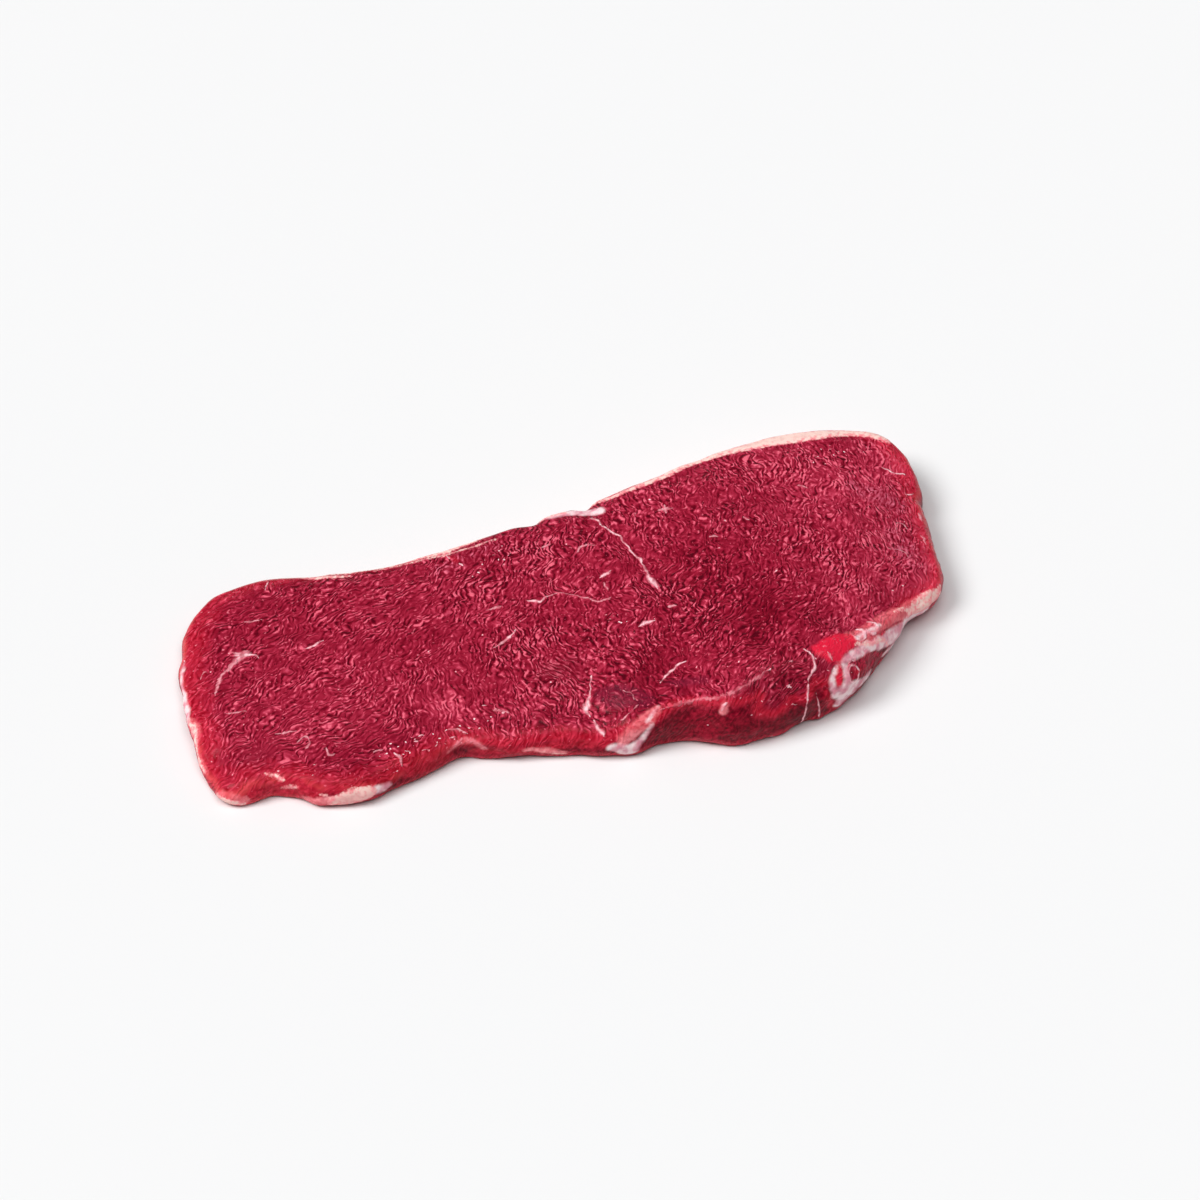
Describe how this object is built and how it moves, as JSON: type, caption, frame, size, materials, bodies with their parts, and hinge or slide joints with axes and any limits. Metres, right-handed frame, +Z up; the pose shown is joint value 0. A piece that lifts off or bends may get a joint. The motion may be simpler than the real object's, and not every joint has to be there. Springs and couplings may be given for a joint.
{
  "type": "raw sirloin steak",
  "caption": "Raw sirloin steak lying flat: a long, lean slice of beef with a fat cap along the back edge and a ragged, membraned front side.",
  "frame": {"origin": "middle of the steak's box, on the plane that it lies on", "axes": "+X along the steak towards its thick end, +Y towards the fat cap, +Z up from the surface that it lies on, through the cut face"},
  "size_m": [0.256, 0.1162, 0.0238],
  "materials": {
    "meat": "wet, raw lean beef, with cream fat and pale gristle"
  },
  "bodies": {
    "root": {"steak": "meat"}
  },
  "joints": []
}
